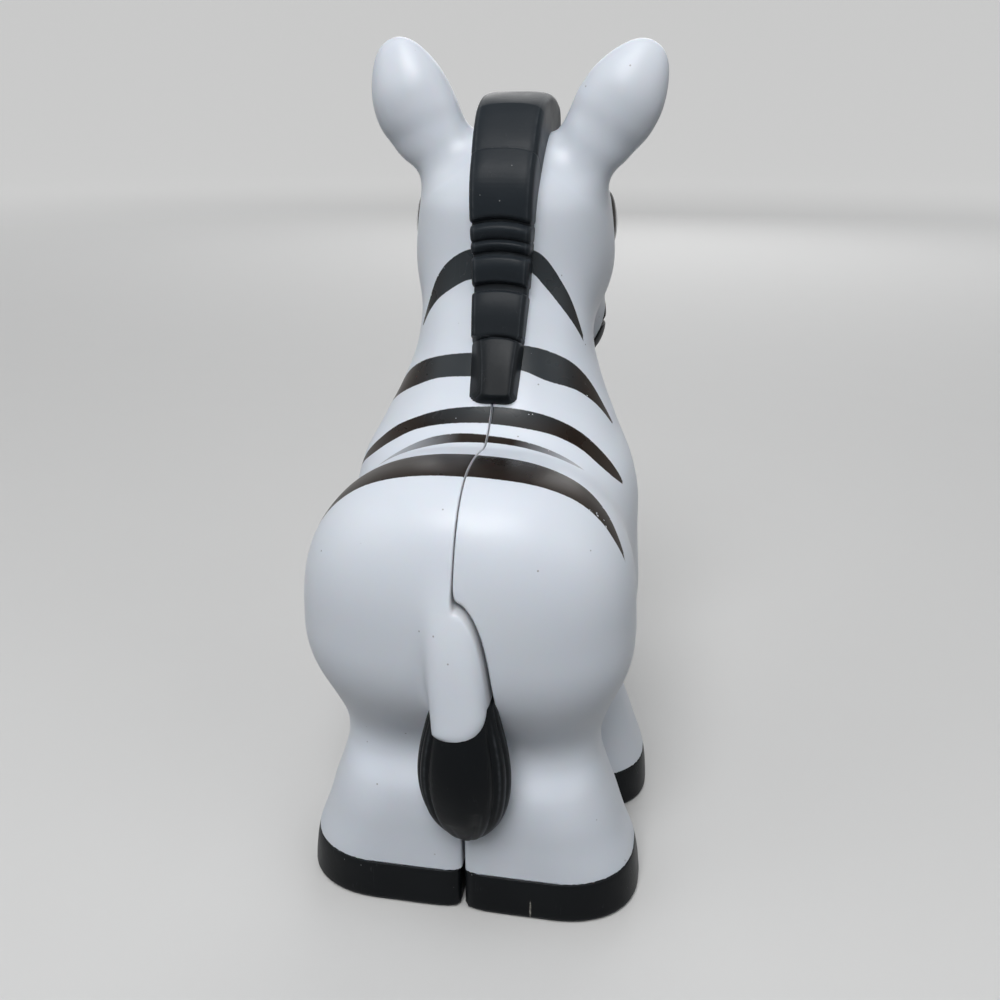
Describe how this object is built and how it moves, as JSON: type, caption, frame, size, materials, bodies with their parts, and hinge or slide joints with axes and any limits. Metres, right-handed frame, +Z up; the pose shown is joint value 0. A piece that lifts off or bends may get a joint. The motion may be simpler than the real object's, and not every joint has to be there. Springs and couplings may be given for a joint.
{
  "type": "toy zebra figure",
  "caption": "Chunky moulded zebra figure for small hands, standing on joined legs, with a stepped mane, upright ears and a tufted tail.",
  "frame": {"origin": "centre of the outer box in plan, on the ground under the hooves", "axes": "+Z up, -Y ahead in the direction the toy faces, +X towards its left side"},
  "size_m": [0.0404, 0.0623, 0.0951],
  "materials": {
    "white_body": "satin, with printed black stripes",
    "black_trim": "satin",
    "eye": "glossy, with a printed pupil"
  },
  "bodies": {
    "root": {"left_body_shell": "white_body", "right_body_shell": "white_body", "mane": "black_trim", "tail_tuft": "black_trim", "muzzle_cap": "black_trim", "front_left_hoof": "black_trim", "front_right_hoof": "black_trim", "rear_left_hoof": "black_trim", "rear_right_hoof": "black_trim", "left_eye": "eye", "right_eye": "eye"}
  },
  "joints": []
}
